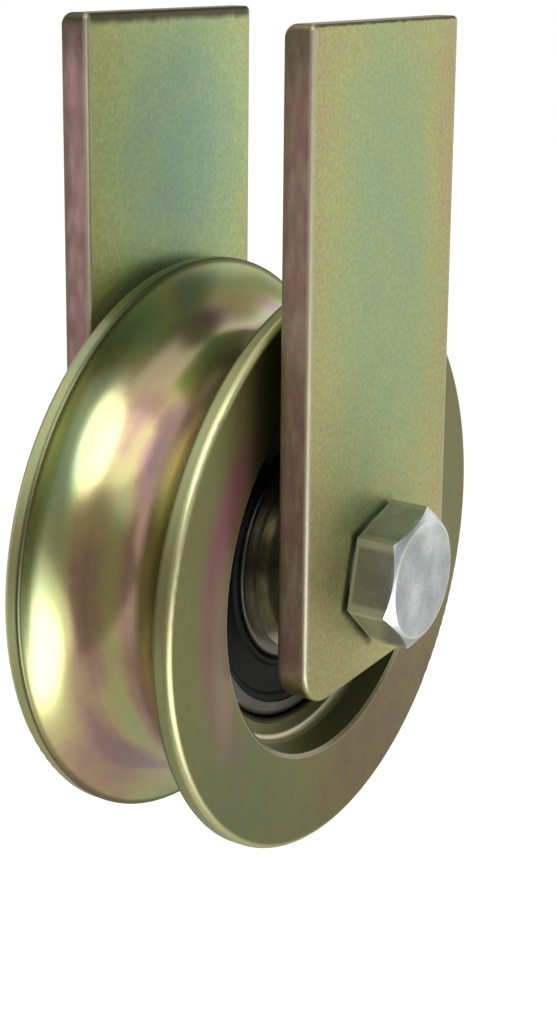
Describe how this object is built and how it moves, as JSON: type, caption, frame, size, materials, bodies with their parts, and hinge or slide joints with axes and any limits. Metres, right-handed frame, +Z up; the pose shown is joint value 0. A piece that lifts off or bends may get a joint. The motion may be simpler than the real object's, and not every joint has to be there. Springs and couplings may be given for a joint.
{
  "type": "gate wheel with bracket",
  "caption": "Grooved steel gate wheel on a sealed ball bearing, bolted between two flat weld-on bracket plates.",
  "frame": {"origin": "centre of the wheel, on its axis and halfway across its width", "axes": "+Y along the axle, from the bolt's head to its nut; +Z up towards the gate; +X along the rail"},
  "size_m": [0.08, 0.057, 0.115],
  "materials": {
    "passivated_wheel": "turned, yellow-passivated zinc with green and pink iridescence",
    "passivated_plate": "rolled flat bar, yellow-passivated zinc, mottled green and ochre",
    "passivated_bush": "turned, yellow-passivated zinc",
    "zinc_bolt": "cold-forged, bright zinc",
    "bearing_steel": "ground and polished",
    "pressed_steel": "pressed sheet",
    "seal_rubber": "smooth moulded black rubber",
    "nylon": "moulded nylon"
  },
  "bodies": {
    "bracket": {"plate_front": "passivated_plate", "plate_rear": "passivated_plate", "bolt": "zinc_bolt", "lock_nut": "zinc_bolt", "nut_insert": "nylon", "bush_front": "passivated_bush", "bush_rear": "passivated_bush", "inner_ring": "bearing_steel"},
    "wheel": {"wheel": "passivated_wheel", "outer_ring": "bearing_steel", "seal_front": "seal_rubber", "seal_rear": "seal_rubber", "seal_disc_front": "pressed_steel", "seal_disc_rear": "pressed_steel"},
    "cage": {"cage_front": "pressed_steel", "cage_rear": "pressed_steel", "cage_rivets": "pressed_steel"},
    "ball_1": {"ball_1": "bearing_steel"},
    "ball_2": {"ball_2": "bearing_steel"},
    "ball_3": {"ball_3": "bearing_steel"},
    "ball_4": {"ball_4": "bearing_steel"},
    "ball_5": {"ball_5": "bearing_steel"},
    "ball_6": {"ball_6": "bearing_steel"},
    "ball_7": {"ball_7": "bearing_steel"},
    "ball_8": {"ball_8": "bearing_steel"}
  },
  "joints": [
    {"name": "wheel_spin", "type": "hinge", "parent": "bracket", "child": "wheel", "pos_m": [0, 0, 0], "axis": [0, 1, 0], "continuous": true},
    {"name": "cage_spin", "type": "hinge", "parent": "bracket", "child": "cage", "pos_m": [0, 0, 0], "axis": [0, 1, 0], "continuous": true},
    {"name": "ball_1_spin", "type": "hinge", "parent": "cage", "child": "ball_1", "pos_m": [0.01675, 0, 0], "axis": [0, 1, 0], "continuous": true},
    {"name": "ball_2_spin", "type": "hinge", "parent": "cage", "child": "ball_2", "pos_m": [0.01184, 0, 0.01184], "axis": [0, 1, 0], "continuous": true},
    {"name": "ball_3_spin", "type": "hinge", "parent": "cage", "child": "ball_3", "pos_m": [0, 0, 0.01675], "axis": [0, 1, 0], "continuous": true},
    {"name": "ball_4_spin", "type": "hinge", "parent": "cage", "child": "ball_4", "pos_m": [-0.01184, 0, 0.01184], "axis": [0, 1, 0], "continuous": true},
    {"name": "ball_5_spin", "type": "hinge", "parent": "cage", "child": "ball_5", "pos_m": [-0.01675, 0, 0], "axis": [0, 1, 0], "continuous": true},
    {"name": "ball_6_spin", "type": "hinge", "parent": "cage", "child": "ball_6", "pos_m": [-0.01184, 0, -0.01184], "axis": [0, 1, 0], "continuous": true},
    {"name": "ball_7_spin", "type": "hinge", "parent": "cage", "child": "ball_7", "pos_m": [0, 0, -0.01675], "axis": [0, 1, 0], "continuous": true},
    {"name": "ball_8_spin", "type": "hinge", "parent": "cage", "child": "ball_8", "pos_m": [0.01184, 0, -0.01184], "axis": [0, 1, 0], "continuous": true}
  ],
  "couplings": [
    {"joint": "cage_spin", "follows": "wheel_spin", "ratio": 0.61848},
    {"joint": "ball_1_spin", "follows": "wheel_spin", "ratio": 1.9916},
    {"joint": "ball_2_spin", "follows": "wheel_spin", "ratio": 1.9916},
    {"joint": "ball_3_spin", "follows": "wheel_spin", "ratio": 1.9916},
    {"joint": "ball_4_spin", "follows": "wheel_spin", "ratio": 1.9916},
    {"joint": "ball_5_spin", "follows": "wheel_spin", "ratio": 1.9916},
    {"joint": "ball_6_spin", "follows": "wheel_spin", "ratio": 1.9916},
    {"joint": "ball_7_spin", "follows": "wheel_spin", "ratio": 1.9916},
    {"joint": "ball_8_spin", "follows": "wheel_spin", "ratio": 1.9916}
  ]
}
